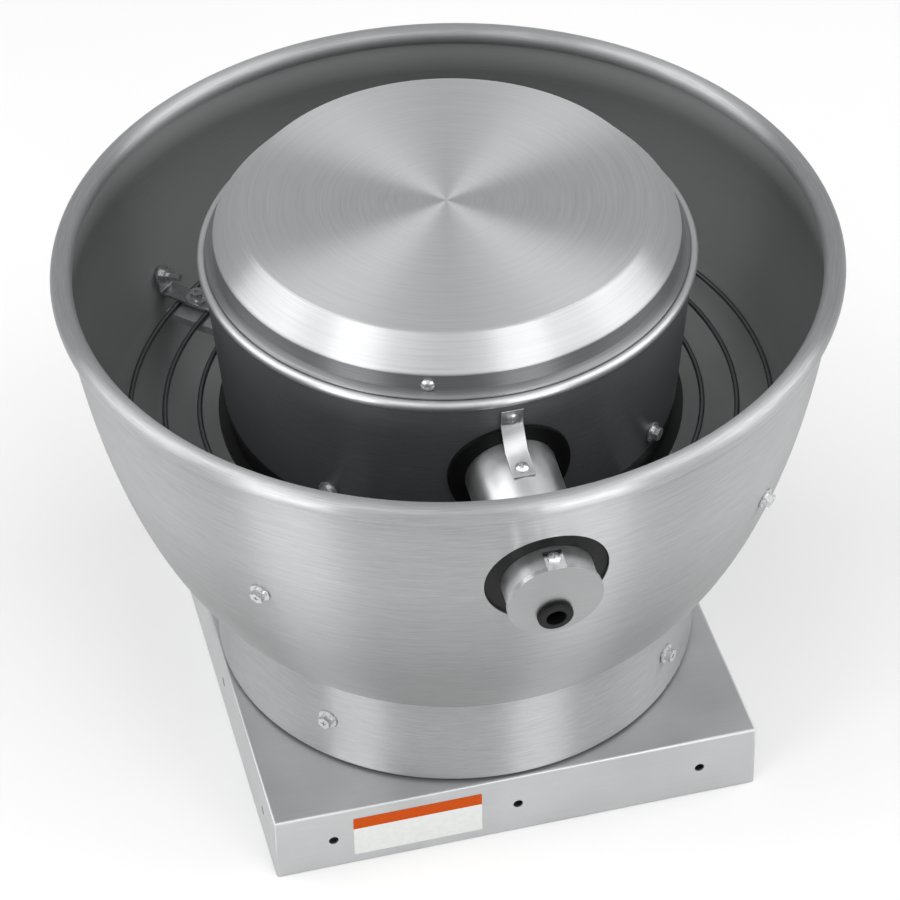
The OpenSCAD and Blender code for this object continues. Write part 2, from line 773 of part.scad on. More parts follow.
module strap_screws() {
    color("white") {
        on_wall(-90, tub_r(strap_screw_z), strap_screw_z, tub_lean)
            translate([0, 0, strap_t + 2 * seat]) pan_screw(9);
        on_conduit() translate([0, tube_r + strap_t + 2 * seat, strap_screw_at])
            rotate([-90, 0, 0]) pan_screw(9);
    }
}

// Cover: a disc with a turned edge over the conduit's end, and a folded tab on top
module conduit_cover() {
    color("gainsboro") difference() {
        on_conduit() {
            translate([0, 0, tube_reach + 0.1]) cylinder(r = cover_r, h = cover_t);
            translate([0, 0, tube_reach - 2.5]) tube(cover_r, tube_r + 0.3, 3);
            translate([-tab_w / 2, tube_r + 0.2, tube_reach + 0.1 + cover_t - tab_len])
                cube([tab_w, cover_t, tab_len]);
        }
        on_conduit() translate([0, -gland_drop, tube_reach - 5]) cylinder(r = gland_r, h = 10);
        on_conduit() translate([0, 0, cover_screw_at]) rotate([-90, 0, 0])
            cylinder(r = pan_shank_r + 0.2, h = 60);
    }
}

module cover_screw() {
    color("white") on_conduit() translate([0, tube_r + 0.2 + cover_t + 0.1, cover_screw_at])
        rotate([-90, 0, 0]) pan_screw(8);
}

module cable_grommet() {
    face = cover_t + 0.05;
    lip_r = gland_r + 2.4;
    color([0.06, 0.06, 0.06]) on_conduit() translate([0, -gland_drop, tube_reach + 0.1]) difference() {
        union() {
            translate([0, 0, -2.6]) cylinder(r = gland_r + 2, h = 2.55);
            translate([0, 0, -1]) cylinder(r = gland_r - 0.05, h = 5);
            rotate_extrude($fn = 96) polygon(concat(
                [[0, face], [lip_r, face]],
                [for (turn = [0:15:90]) [lip_r - 2 + 2 * cos(turn), face + 2.5 + 2 * sin(turn)]],
                [[0, face + 4.5]]));
        }
        translate([0, 0, -5]) cylinder(d = gland_d, h = 20);
    }
}

// Junction box: takes the conduit's inner end and the supply's wires
module junction_box() {
    color("silver") difference() {
        translate([-box_w / 2, -box_y0, deck_z]) cube([box_w, box_d, box_top - deck_z]);
        translate([-box_w / 2 + box_t, -box_y0 + box_t, deck_z + box_t])
            cube([box_w - 2 * box_t, box_d - 2 * box_t, box_top]);
        on_conduit() translate([0, 0, tube_in - 20]) cylinder(r = tube_r + 0.2, h = 40);
        translate([0, -box_y0 + box_d, deck_z + 30]) rotate([90, 0, 0])
            cylinder(r = 8, h = 10, center = true);
    }
}

module junction_box_lid() {
    color("silver") difference() {
        translate([-box_w / 2 - 1.8, -box_y0 - 1.8, box_top - 8])
            cube([box_w + 3.6, box_d + 3.6, 9.5]);
        translate([-box_w / 2 - 0.2, -box_y0 - 0.2, box_top - 10])
            cube([box_w + 0.4, box_d + 0.4, 10.1]);
    }
}

module terminal_block() {
    color("ivory") translate([-24, -box_y0 + 14, deck_z + box_t + 0.05]) difference() {
        cube([48, 20, 16]);
        for (k = [0:3]) translate([3 + 11.5 * k, 3, 8]) cube([7.5, 14, 10]);
    }
}

// Run capacitor: a round can held to the deck by a clip
cap_can = [118, 42, 20];
module run_capacitor() {
    color("gainsboro") translate([cap_can[0], cap_can[1], deck_z + 2]) {
        cylinder(r = cap_can[2], h = 70);
        translate([0, 0, 69]) cylinder(r = cap_can[2] - 3, h = 4);
        for (s = [-1, 1]) translate([s * 7 - 0.8, -3, 72]) cube([1.6, 6, 8]);
    }
}

module capacitor_clip() {
    color("silver") translate([cap_can[0], cap_can[1], deck_z]) {
        difference() {
            cylinder(r = cap_can[2] + 2, h = 26);
            translate([0, 0, 1.9]) cylinder(r = cap_can[2] + 0.3, h = 40);
        }
    }
}

// Motor: rubber feet, two end bells and a ribbed housing on long studs
module motor_feet() {
    color([0.1, 0.1, 0.1]) for (a = diag) rotate([0, 0, a]) translate([foot_r, 0, deck_z])
        tube(9, m6_r + hole_ease, foot_h);
}

module motor_bolts() {
    color("white") for (a = diag) rotate([0, 0, a]) translate([foot_r, 0, 0]) {
        translate([0, 0, motor_z + bell_t]) washer_bolt(foot_h + bell_t + deck_t + 7);
        translate([0, 0, arm_z - m6_nut]) hex_nut();
    }
}

module bell_plate(h) {
    cylinder(r = motor_r + 2, h = h);
    for (k = [0:3]) rotate([0, 0, 90 * k]) translate([motor_r + 5.5, 0, 0]) cylinder(r = 6, h = h);
}

module motor_lower_bell() {
    color("darkslategray") difference() {
        union() {
            translate([0, 0, motor_z]) bell_plate(bell_t);
            for (a = diag) rotate([0, 0, a]) translate([0, -9, motor_z]) {
                cube([foot_r, 18, bell_t]);
                translate([foot_r, 9, 0]) cylinder(r = 9, h = bell_t);
            }
            translate([0, 0, motor_z]) cylinder(r = bearing_r + 6, h = bell_t + bearing_h + 1);
            translate([0, 0, motor_z + bell_t]) tube(motor_r, motor_r - 5, housing_z - motor_z - bell_t);
        }
        translate([0, 0, motor_z - 1]) cylinder(r = shaft_r + 1.5, h = 60);
        translate([0, 0, bearing_z]) cylinder(r = bearing_r + 0.02, h = 60);
        for (a = diag) rotate([0, 0, a]) translate([foot_r, 0, motor_z - 1])
            cylinder(r = m6_r + hole_ease, h = 30);
        for (k = [0:3]) rotate([0, 0, 90 * k]) translate([motor_r + 5.5, 0, motor_z - 1])
            cylinder(r = 2.6, h = 30);
    }
}

module motor_housing() {
    color("slategray") translate([0, 0, housing_z]) difference() {
        union() {
            cylinder(r = motor_r, h = motor_h);
            for (k = [0:35]) if (k % 9 != 0) rotate([0, 0, 10 * k])
                translate([motor_r - 1, -1, 4]) cube([4, 2, motor_h - 8]);
        }
        translate([0, 0, -1]) cylinder(r = stator_r + 0.05, h = motor_h + 2);
    }
}

module motor_upper_bell() {
    color("darkslategray") difference() {
        union() {
            translate([0, 0, housing_top]) bell_plate(bell_t);
            translate([0, 0, housing_top]) cylinder(r = bearing_r + 6, h = motor_top - housing_top);
        }
        translate([0, 0, housing_top - 1]) cylinder(r = bearing_r + 0.02, h = top_bearing_z + bearing_h + 1 - housing_top);
        for (k = [0:3]) rotate([0, 0, 90 * k]) translate([motor_r + 5.5, 0, housing_top - 1])
            cylinder(r = 2.6, h = 30);
    }
}

module motor_studs() {
    color("white") for (k = [0:3]) rotate([0, 0, 90 * k]) translate([motor_r + 5.5, 0, 0]) {
        translate([0, 0, motor_z - 4]) cylinder(r = 2.5, h = housing_top + bell_t - motor_z + 10);
        translate([0, 0, motor_z - 3.6]) hexagon(7, 3.5);
        translate([0, 0, housing_top + bell_t + 0.1]) hexagon(7, 3.5);
    }
}

core_gap = 1;
core_r = motor_r - 28;
core_h = motor_h - 28;
core_z = housing_z + 14;

module stator_core() {
    color("dimgray") translate([0, 0, core_z]) tube(stator_r, core_r + core_gap, core_h);
}

module stator_windings() {
    color("peru") for (z = [core_z - 11.2, core_z + core_h + 0.2])
        rotate_extrude() translate([core_r + 5, z]) square([stator_r - core_r - 9, 11]);
}

module ball_bearing(z) {
    color("silver") translate([0, 0, z]) difference() {
        cylinder(r = bearing_r, h = bearing_h);
        translate([0, 0, -1]) cylinder(r = shaft_r + shaft_clear, h = bearing_h + 2);
        for (s = [-1, bearing_h - 1]) translate([0, 0, s]) tube(bearing_r - 3, shaft_r + 3, 2);
    }
}

module lower_bearing() {
    ball_bearing(bearing_z + 0.02);
}

module upper_bearing() {
    ball_bearing(top_bearing_z);
}

module shaft_seal() {
    color([0.1, 0.1, 0.1]) difference() {
        union() {
            translate([0, 0, arm_z - 1.5]) cylinder(r = seal_r - 0.05, h = deck_t + 1.6);
            translate([0, 0, deck_z + 0.02]) cylinder(r = seal_r + 4, h = 2);
        }
        translate([0, 0, arm_z - 5]) cylinder(r = shaft_r + 0.08, h = 20);
    }
}

// Rotor: the shaft and all that turns with it
module motor_shaft() {
    color("silver") difference() {
        union() {
            translate([0, 0, wheel_top - hub_h + 1]) cylinder(r = shaft_r,
                h = top_bearing_z + bearing_h - 2 - wheel_top + hub_h);
            translate([0, 0, wheel_top - hub_h - 14]) cylinder(r = thread_r, h = 16);
        }
        translate([shaft_r - 2.5, -key_w / 2, wheel_top - hub_h + 4]) cube([10, key_w, key_len]);
    }
}

module rotor_core() {
    color("dimgray") translate([0, 0, core_z]) tube(core_r, shaft_r + 0.01, core_h);
}

module shaft_key() {
    color("silver") translate([shaft_r - 2.5, -key_w / 2 + 0.02, wheel_top - hub_h + 4.05])
        cube([4.5, key_w - 0.04, key_len - 0.1]);
}

module slinger() {
    color([0.1, 0.1, 0.1]) translate([0, 0, arm_z - arm_h]) tube(seal_r - 2, shaft_r + 0.01, 3);
}

module wheel_hub() {
    color("gray") difference() {
        union() {
            translate([0, 0, wheel_top - hub_h]) cylinder(r = hub_r, h = hub_h - wheel_t);
            translate([0, 0, plate_z - hub_flange_t]) cylinder(r = hub_flange_r, h = hub_flange_t);
        }
        translate([0, 0, wheel_top - hub_h - 1]) cylinder(r = shaft_r + 0.01, h = hub_h + 2);
        translate([0, -key_w / 2, wheel_top - hub_h - 1]) cube([shaft_r + 2.1, key_w, hub_h + 2]);
        for (k = [0:5]) rotate([0, 0, 60 * k]) translate([hub_flange_r - 9, 0, wheel_top - hub_h - 1])
            cylinder(r = rivet_r + 0.1, h = hub_h + 2);
    }
}

module hub_rivets() {
    color("lightgray") for (k = [0:5]) rotate([0, 0, 60 * k])
        translate([hub_flange_r - 9, 0, wheel_top]) rivet(wheel_t + hub_flange_t);
}

module wheel_back_plate() {
    color("silver") translate([0, 0, plate_z]) difference() {
        cylinder(r = wheel_r, h = wheel_t, $fn = fine);
        translate([0, 0, -1]) cylinder(r = shaft_r + 0.5, h = wheel_t + 2);
        for (k = [0:5]) rotate([0, 0, 60 * k]) translate([hub_flange_r - 9, 0, -1])
            cylinder(r = rivet_r + 0.1, h = wheel_t + 2);
    }
}

// The inlet ring's inner face is part of an ellipse from its lip to the rim
shroud_z = wheel_z + lap + 4;
shroud_end = 76;
shroud_a = (wheel_r - ring_in) / (1 - cos(shroud_end));
shroud_b = (plate_z - blade_tip_h - shroud_z) / sin(shroud_end);
function shroud(s, depth) =
    let (n = [shroud_b * cos(s), -shroud_a * sin(s)])
    [ring_in + shroud_a * (1 - cos(s)), shroud_z + shroud_b * sin(s)] + depth * n / norm(n);
shroud_steps = [for (k = [0:10]) shroud_end * k / 10];

module wheel_inlet_ring() {
    color("silver") rotate_extrude($fn = fine) polygon(concat(
        [[ring_in, wheel_z]],
        [for (s = shroud_steps) shroud(s, 0)],
        [for (k = [10:-1:0]) shroud(shroud_steps[k], wheel_t)],
        [[ring_in + wheel_t, wheel_z]]));
}

// Blades: single arcs that lean back from the direction of rotation
blade_in = ring_in + 5;
blade_out = wheel_r - 2;
blade_arc = (pow(blade_out, 2) - pow(blade_in, 2))
    / (2 * (blade_out * cos(blade_angle) - blade_in * cos(blade_angle - 10)));
blade_off = sqrt(pow(blade_out, 2) + pow(blade_arc, 2) - 2 * blade_out * blade_arc * cos(blade_angle));

module blade_profile() {
    intersection() {
        translate([blade_off, 0]) difference() {
            circle(r = blade_arc + wheel_t / 2, $fn = 360);
            circle(r = blade_arc - wheel_t / 2, $fn = 360);
        }
        difference() {
            circle(r = blade_out, $fn = 360);
            circle(r = blade_in, $fn = 360);
        }
        translate([-wheel_r, 0]) square([2 * wheel_r, wheel_r]);
    }
}

module wheel_blades() {
    color("silver") intersection() {
        for (k = [0:blade_n - 1]) rotate([0, 0, 360 / blade_n * k]) translate([0, 0, shroud_z])
            linear_extrude(height = plate_z - 0.05 - shroud_z) blade_profile();
        rotate_extrude($fn = fine) polygon(concat(
            [[0, shroud_z]],
            [for (s = shroud_steps) shroud(s, -0.05)],
            [[wheel_r, plate_z], [0, plate_z]]));
    }
}

module wheel_nut() {
    color("white") translate([0, 0, wheel_top - hub_h - 10.05]) hex_nut(thread_r + 0.05, 19, 10);
}

// Cap: a spun lid that lifts off when its screw is out
function brim_line(inset) = [for (turn = [0:15:90])
    [cap_r + (cap_brim - inset) * sin(turn), brim_z + (brim_h - inset) * cos(turn)]];

module motor_cap() {
    top_r = cap_top_d / 2;
    color("silver") difference() {
        rotate_extrude($fn = fine) polygon([
            [0, cap_top], [top_r - 1, cap_top], [top_r + 0.6, cap_top - 0.5],
            [cap_r - 1.2, shoulder_z + 1.4], [cap_r - 0.3, shoulder_z + 0.2], [cap_r, shoulder_z - 1.2],
            each brim_line(0), each reversed(brim_line(cap_t)), [cap_r - cap_t, brim_z + brim_h - cap_t],
            [cap_r - cap_t, shoulder_z - 1], [cap_r - 2.1, shoulder_z + 0.4],
            [top_r - 0.2, cap_top - cap_t - 0.4], [top_r - 1.2, cap_top - cap_t], [0, cap_top - cap_t]]);
        on_wall(cap_screw_angle, cap_r, cap_screw_z, 0) cylinder(r = 2.8, h = 8, center = true);
    }
}

module cap_screw() {
    color("white") on_wall(cap_screw_angle, cap_r + seat, cap_screw_z, 0)
        pan_screw(9, 2.5, cap_screw_r, 3);
}

curb_cap();
inlet_cone();
cone_screws();
base_drum();
drum_rivets();
drum_bolts();
drum_nuts();
windband();
windband_bolts();
windband_nuts();
bracket_washers();
support_brackets();
support_arms();
arm_screws();
arm_nuts();
guard_rings();
motor_deck();
deck_bolts();
motor_tub();
tub_bolts();
tub_nuts();
cap_clips();
conduit_tube();
conduit_gasket();
band_gasket();
conduit_strap();
strap_screws();
conduit_cover();
cover_screw();
cable_grommet();
junction_box();
junction_box_lid();
terminal_block();
run_capacitor();
capacitor_clip();
motor_feet();
motor_bolts();
motor_lower_bell();
motor_housing();
motor_upper_bell();
motor_studs();
stator_core();
stator_windings();
lower_bearing();
upper_bearing();
shaft_seal();
motor_shaft();
rotor_core();
shaft_key();
slinger();
wheel_hub();
hub_rivets();
wheel_back_plate();
wheel_blades();
wheel_inlet_ring();
wheel_nut();
motor_cap();
cap_screw();
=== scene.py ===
import math
import bpy
from mathutils import Matrix, Vector


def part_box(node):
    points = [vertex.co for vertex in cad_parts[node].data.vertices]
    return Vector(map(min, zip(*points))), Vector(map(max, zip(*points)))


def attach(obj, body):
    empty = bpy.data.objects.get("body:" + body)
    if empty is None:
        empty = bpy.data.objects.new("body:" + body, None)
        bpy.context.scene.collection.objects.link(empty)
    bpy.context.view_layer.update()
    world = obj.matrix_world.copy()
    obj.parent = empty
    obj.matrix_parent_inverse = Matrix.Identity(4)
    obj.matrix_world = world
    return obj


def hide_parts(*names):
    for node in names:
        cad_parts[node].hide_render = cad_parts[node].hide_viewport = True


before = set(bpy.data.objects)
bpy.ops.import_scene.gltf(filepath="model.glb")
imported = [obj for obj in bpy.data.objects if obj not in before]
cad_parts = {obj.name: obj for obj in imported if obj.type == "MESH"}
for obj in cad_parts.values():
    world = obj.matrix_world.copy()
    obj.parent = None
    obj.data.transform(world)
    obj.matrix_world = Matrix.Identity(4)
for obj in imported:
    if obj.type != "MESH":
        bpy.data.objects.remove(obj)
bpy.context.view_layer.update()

bpy.context.scene.view_settings.view_transform = "Standard"


# Curb cap: a square tray folded from 1.5 mm aluminium sheet on a brake, which
# slips over the roof curb. The folds have a small outside radius, so each one
# carries a thin line of light.
def linear(code):
    def one(v):
        v = v / 255
        return v / 12.92 if v <= 0.04045 else ((v + 0.055) / 1.055) ** 2.4
    return tuple(one(int(code[i:i + 2], 16)) for i in (1, 3, 5)) + (1.0,)


def node(tree, kind, links=None, **settings):
    made = tree.nodes.new("ShaderNode" + kind)
    for key, value in settings.items():
        setattr(made, key, value)
    for key, value in (links or {}).items():
        if isinstance(value, bpy.types.NodeSocket):
            tree.links.new(value, made.inputs[key])
        else:
            made.inputs[key].default_value = value
    return made


def maths(tree, operation, *values):
    return node(tree, "Math", dict(enumerate(values)), operation=operation).outputs[0]


def ramp(tree, value, start, end, low=0.0, high=1.0):
    return node(tree, "MapRange", {0: value, 1: start, 2: end, 3: low, 4: high}).outputs[0]


def noise(tree, place, scale, detail=3.0):
    return node(tree, "TexNoise", {"Vector": place, "Scale": scale, "Detail": detail}).outputs[0]


def relief(tree, strength, depth, height):
    return node(tree, "Bump", {"Strength": strength, "Distance": depth, "Height": height}).outputs[0]


def mix_values(tree, share, one, other):
    return node(tree, "Mix", {0: share, 2: one, 3: other}, data_type="FLOAT").outputs[0]


def mix_colours(tree, share, *ends):
    one, other = (linear(end) if isinstance(end, str) else end for end in ends)
    return node(tree, "Mix", {0: share, 6: one, 7: other}, data_type="RGBA").outputs[2]


def feed(tree, skin, sockets):
    for name, source in sockets.items():
        tree.links.new(source, skin.inputs[name])


def finish(name, metallic, roughness, spread=0.0, specular=0.5):
    made = bpy.data.materials.new(name)
    made.use_nodes = True
    tree = made.node_tree
    skin = tree.nodes["Principled BSDF"]
    skin.inputs["Metallic"].default_value = metallic
    skin.inputs["Roughness"].default_value = roughness
    skin.inputs["Anisotropic"].default_value = spread
    skin.inputs["Specular IOR Level"].default_value = specular
    place = node(tree, "TexCoord").outputs["Object"]
    return made, tree, skin, place


# Rolled sheet: the grain of the mill's rolls shows as faint straight lines, drawn
# 1 mm wide where the real ones are 0.1 mm, and handling leaves soft clouds.
def rolled_sheet(name, light, dark, roughness, grain=0.0010, length=0.05, lines=0.5, metallic=1.0):
    made, tree, skin, place = finish(name, metallic, roughness, 0.2)
    normal = node(tree, "TexCoord").outputs["Normal"]
    facing = node(tree, "SeparateXYZ", {0: normal}).outputs
    x, y, z = node(tree, "SeparateXYZ", {0: place}).outputs
    steep = 0.6
    side = maths(tree, "GREATER_THAN", maths(tree, "ABSOLUTE", facing[0]), steep)
    front = maths(tree, "GREATER_THAN", maths(tree, "ABSOLUTE", facing[1]), steep)
    along = mix_values(tree, side, x, z)
    across = mix_values(tree, front, y, z)
    flat = node(tree, "CombineXYZ", {0: along, 1: across}).outputs[0]
    stretch = node(tree, "Mapping", {0: flat, "Scale": (1 / length, 1 / grain, 1)}).outputs[0]
    rolled = noise(tree, stretch, 1.0)
    cloud = noise(tree, place, 16.0)
    both = mix_values(tree, lines, cloud, rolled)
    feed(tree, skin, {
        "Base Color": mix_colours(tree, ramp(tree, both, 0.35, 0.65), dark, light),
        "Roughness": ramp(tree, cloud, 0.3, 0.7, roughness - 0.04, roughness + 0.05),
        "Normal": relief(tree, 0.04, 0.0003, rolled)})
    return made


# A copy of a CAD node with its sharp edges eased stands in for that node, and
# weighted normals keep its flat faces level.
def eased(name, body, width, material):
    bpy.ops.object.select_all(action="DESELECT")
    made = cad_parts[name].copy()
    made.data = made.data.copy()
    made.name = made.data.name = "dressed_" + name
    bpy.context.scene.collection.objects.link(made)
    made.select_set(True)
    bpy.context.view_layer.objects.active = made
    bpy.ops.object.mode_set(mode="EDIT")
    bpy.ops.mesh.select_all(action="SELECT")
    bpy.ops.mesh.remove_doubles(threshold=0.00002)
    bpy.ops.object.mode_set(mode="OBJECT")
    edge = made.modifiers.new("edges", "BEVEL")
    edge.width = width
    edge.segments = 3
    edge.limit_method = "ANGLE"
    edge.angle_limit = math.radians(60)
    edge.use_clamp_overlap = True
    bpy.ops.object.modifier_apply(modifier="edges")
    bpy.ops.object.shade_smooth_by_angle(angle=math.radians(50))
    level = made.modifiers.new("level faces", "WEIGHTED_NORMAL")
    level.keep_sharp = True
    level.weight = 100
    bpy.ops.object.modifier_apply(modifier="level faces")
    made.data.materials.clear()
    made.data.materials.append(material)
    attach(made, body)
    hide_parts(name)


mill_sheet = rolled_sheet(
    "mill finish aluminium sheet", "#BDBEBF", "#B3B4B5", 0.44, lines=0.35, metallic=0.8)
eased("curb_cap", "housing", 0.0009, mill_sheet)

# Label: a blank vinyl sticker with a coloured band along its top, pressed on the
# curb cap's front face beside the left-hand fixing hole.
label_x = (-0.140, -0.031)
label_z = (0.0086, 0.0505)
band_foot = 0.0385
front_face = -0.206
glue = 0.00002
film_thickness = 0.00015
label_corner = 0.0012
middle = (sum(label_x) / 2, front_face - glue, sum(label_z) / 2)
bpy.ops.object.select_all(action="DESELECT")
bpy.ops.mesh.primitive_plane_add(size=1, location=middle, rotation=(math.radians(90), 0, 0))
label = bpy.context.object
label.name = label.data.name = "blank_label"
label.scale = (label_x[1] - label_x[0], label_z[1] - label_z[0], 1)
bpy.ops.object.transform_apply(location=True, rotation=True, scale=True)
bpy.ops.object.mode_set(mode="EDIT")
bpy.ops.mesh.select_all(action="SELECT")
bpy.ops.mesh.bevel(offset=label_corner, segments=5, affect="VERTICES")
bpy.ops.object.mode_set(mode="OBJECT")
film = label.modifiers.new("film", "SOLIDIFY")
film.thickness = film_thickness
film.offset = 1.0
bpy.ops.object.modifier_apply(modifier="film")
vinyl, tree, skin, place = finish("matt white vinyl film", 0.0, 0.42, specular=0.1)
height = node(tree, "SeparateXYZ", {0: place}).outputs[2]
ink = noise(tree, place, 240.0, 2.0)
white = mix_colours(tree, ink, "#BDBEBC", "#CBCCCA")
orange = mix_colours(tree, ink, "#A83F00", "#B04402")
band = maths(tree, "GREATER_THAN", height, band_foot)
feed(tree, skin, {
    "Base Color": mix_colours(tree, band, white, orange),
    "Normal": relief(tree, 0.06, 0.0002, ink)})
label.data.materials.append(vinyl)
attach(label, "housing")


# Inlet cone: a bell mouth spun from aluminium sheet on a lathe and screwed to the
# curb cap's top. The tool leaves fine rings, and the light fans out across them.
def dress(material, *names):
    for name in names:
        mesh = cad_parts[name].data
        mesh.materials.clear()
        mesh.materials.append(material)


def vector(tree, operation, *values, result="Vector"):
    return node(tree, "VectorMath", dict(enumerate(values)), operation=operation).outputs[result]


# Turned metal: a tool or a brush marks it round the axis. Hairlines are drawn
# 0.5 mm wide where the real ones are 0.05 mm, and longer soft streaks lie over.
def turned_metal(name, light, dark, roughness, spread, run=0.022):
    made, tree, skin, place = finish(name, 1.0, roughness, spread)
    quarter_turn = 0.25
    skin.inputs["Anisotropic Rotation"].default_value = quarter_turn
    x, y, z = node(tree, "SeparateXYZ", {0: place}).outputs
    square = maths(tree, "MULTIPLY_ADD", y, y, maths(tree, "MULTIPLY", x, x))
    hair = 0.0005
    out = maths(tree, "MULTIPLY", maths(tree, "SQRT", square), 1 / hair)
    way = vector(tree, "NORMALIZE", vector(tree, "MULTIPLY", place, (1, 1, 0)))
    mean_radius = 0.25
    ring = vector(tree, "MULTIPLY", way, (mean_radius / run,) * 3)
    rise = node(tree, "CombineXYZ", {2: z}).outputs[0]
    lift = vector(tree, "MULTIPLY_ADD", rise, (1, 1, 1 / hair), ring)
    spot = {"Vector": lift, "W": out}
    fine = node(tree, "TexNoise", {**spot, "Scale": 1.0, "Detail": 3.0, "Roughness": 0.6},
                noise_dimensions="4D").outputs[0]
    wide = node(tree, "TexNoise", {**spot, "Scale": 0.22, "Detail": 2.0},
                noise_dimensions="4D").outputs[0]
    both = mix_values(tree, 0.1, fine, wide)
    streaks = ramp(tree, both, 0.36, 0.64)
    colour = mix_colours(tree, streaks, dark, light)
    gloss = ramp(tree, both, 0.36, 0.64, roughness + 0.03, roughness - 0.03)
    around = node(tree, "Tangent", direction_type="RADIAL", axis="Z").outputs[0]
    feed(tree, skin, {
        "Base Color": colour,
        "Roughness": gloss,
        "Tangent": around,
        "Normal": relief(tree, 0.03, 0.0003, fine)})
    return made, tree, skin, {"place": place, "z": z, "streaks": streaks, "colour": colour, "gloss": gloss}


dress(turned_metal("spun aluminium cone", "#BABBBC", "#A5A6A7", 0.36, 0.5)[0], "inlet_cone")


# Screws, bolts, nuts and washers: steel, bright zinc plated after threading. The
# plate is glossy with a faint bloom, so it shows small uneven highlights.
def plated(name, light, dark, roughness, metallic=1.0, scale=900.0, bump=0.1, specular=0.5):
    made, tree, skin, place = finish(name, metallic, roughness, specular=specular)
    spots = noise(tree, place, scale)
    feed(tree, skin, {
        "Base Color": mix_colours(tree, spots, dark, light),
        "Roughness": ramp(tree, spots, 0.3, 0.7, roughness - 0.04, roughness + 0.06),
        "Normal": relief(tree, bump, 0.0002, spots)})
    return made


zinc = plated("bright zinc plate", "#DDDEDF", "#B6B7B9", 0.28, metallic=0.85)
dress(zinc, "cone_screws")


# Base drum: aluminium sheet rolled to a ring, brushed round, its foot turned
# inwards and riveted to the curb cap with eight aluminium rivets. A thin dark
# line of painted shade is drawn round the foot.
brushed_drum, tree, skin, at = turned_metal("brushed aluminium drum", "#B1B2B3", "#A0A1A2", 0.4, 0.97)
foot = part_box("base_drum")[0][2]
# Painted shade: a near-black line round the drum's foot, where it meets the curb cap.
painted_crease_shade = ramp(tree, at["z"], foot + 0.0032, foot + 0.0021, 0.0, 0.97)
feed(tree, skin, {"Base Color": mix_colours(tree, painted_crease_shade, at["colour"], "#141515")})
dress(brushed_drum, "base_drum")
dress(plated("aluminium rivets", "#B4B5B6", "#9A9B9C", 0.4), "drum_rivets", "hub_rivets")
dress(zinc, "drum_bolts", "drum_nuts")


# Windband: a bowl spun from one aluminium disc, its edge rolled to a bead, and
# brushed outside, where painted shade darkens it towards the neck. The inside, up
# to the bead, has a duller finish and a dark colour of painted shade.
def part_dull_and_shaded(tree, skin, at, mask, bright, dull, roughness, metallic):
    feed(tree, skin, {
        "Base Color": mix_colours(tree, mask, bright, dull),
        "Roughness": mix_values(tree, mask, at["gloss"], roughness),
        "Metallic": ramp(tree, mask, 0.0, 1.0, 1.0, metallic)})


spun_band, tree, skin, at = turned_metal("spun aluminium windband", "#B2B3B4", "#A1A2A3", 0.4, 0.97)
normal = node(tree, "TexCoord").outputs["Normal"]
outwards = vector(tree, "MULTIPLY", at["place"], (1, 1, 0))
inward = ramp(tree, vector(tree, "DOT_PRODUCT", normal, outwards, result="Value"), 0.0, -0.01)
bead_foot = 0.4437
below = ramp(tree, at["z"], bead_foot + 0.0008, bead_foot)
# Painted shade: the inside's dark colour, below the bead.
dull = mix_colours(tree, at["streaks"], "#585959", "#606161")
# Painted light on the inside: lighter tones near the mouth and low down, each reached between two heights.
for start, end, tone in (
        (0.415, 0.443, "#909191"),
        (0.41, 0.29, "#949595"),
        (0.3, 0.22, "#D2D3D3")):
    dull = mix_colours(tree, ramp(tree, at["z"], start, end), dull, tone)
# Painted shade: the outside darkens towards the neck.
painted_neck_shade = ramp(tree, at["z"], 0.36, 0.24, 0.0, 0.3)
bright = mix_colours(tree, painted_neck_shade, at["colour"], "#202121")
part_dull_and_shaded(tree, skin, at, maths(tree, "MULTIPLY", inward, below), bright, dull, 0.5, 0.3)
dress(spun_band, "windband")
dress(zinc, "windband_bolts", "windband_nuts", "bracket_washers", "arm_screws", "arm_nuts")

# Brackets, arms and guard rings: steel strip and wire, hot galvanised. The zinc
# has dulled, to a dark grey on the wire, with soft spangle a few millimetres across.
galvanised = plated("dull galvanised steel", "#C6C7C9", "#A6A7A9", 0.34, metallic=0.6, scale=260.0)
eased("support_arms", "housing", 0.0004, galvanised)
dress(plated("galvanised guard wire", "#6A6B6D", "#505153", 0.4, metallic=0.8, scale=420.0), "guard_rings")
bracket_zinc = plated("galvanised brackets", "#C2C3C5", "#9FA0A2", 0.3, scale=260.0)
eased("support_brackets", "housing", 0.0005, bracket_zinc)


# Motor deck: a deep drawn steel pan under the motor, powder coated satin black,
# bolted to the arms. The coat has the fine orange peel of baked powder.
black_paint = plated(
    "black powder coat", "#0C0D0E", "#080909", 0.42, metallic=0.0, scale=1500.0, specular=0.3)
dress(black_paint, "motor_deck")
dress(zinc, "deck_bolts")


# Motor tub: spun aluminium, its rim rolled to a bead. Only the bead is brushed
# bright; the wall below has a duller finish and a dark colour of painted shade.
spun_tub, tree, skin, at = turned_metal("spun aluminium tub", "#C4C5C6", "#B4B5B6", 0.38, 0.85)
bead_height = 0.0082
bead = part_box("motor_tub")[1][2] - bead_height
wall = ramp(tree, at["z"], bead, bead - 0.0012)
# Painted shade: the wall's dark colour below the bead.
dull = mix_colours(tree, at["streaks"], "#56575A", "#626366")
part_dull_and_shaded(tree, skin, at, wall, at["colour"], dull, 0.42, 0.6)
dress(spun_tub, "motor_tub")
dress(zinc, "tub_bolts", "tub_nuts")
satin_strip = rolled_sheet("satin aluminium strip", "#C4C5C6", "#B4B5B6", 0.38, grain=0.0006, length=0.02)
dress(satin_strip, "cap_clips")


# Conduit: a drawn aluminium tube from the tub's wall out through the windband,
# held by a bent strap and two screws. Drawing has left it smooth and bright.
drawn_tube = plated("drawn aluminium tube", "#E0E1E2", "#CBCCCD", 0.34, scale=60.0, bump=0.02)
dress(drawn_tube, "conduit_tube")
eased("conduit_strap", "housing", 0.0004, satin_strip)
dress(zinc, "strap_screws", "cover_screw")

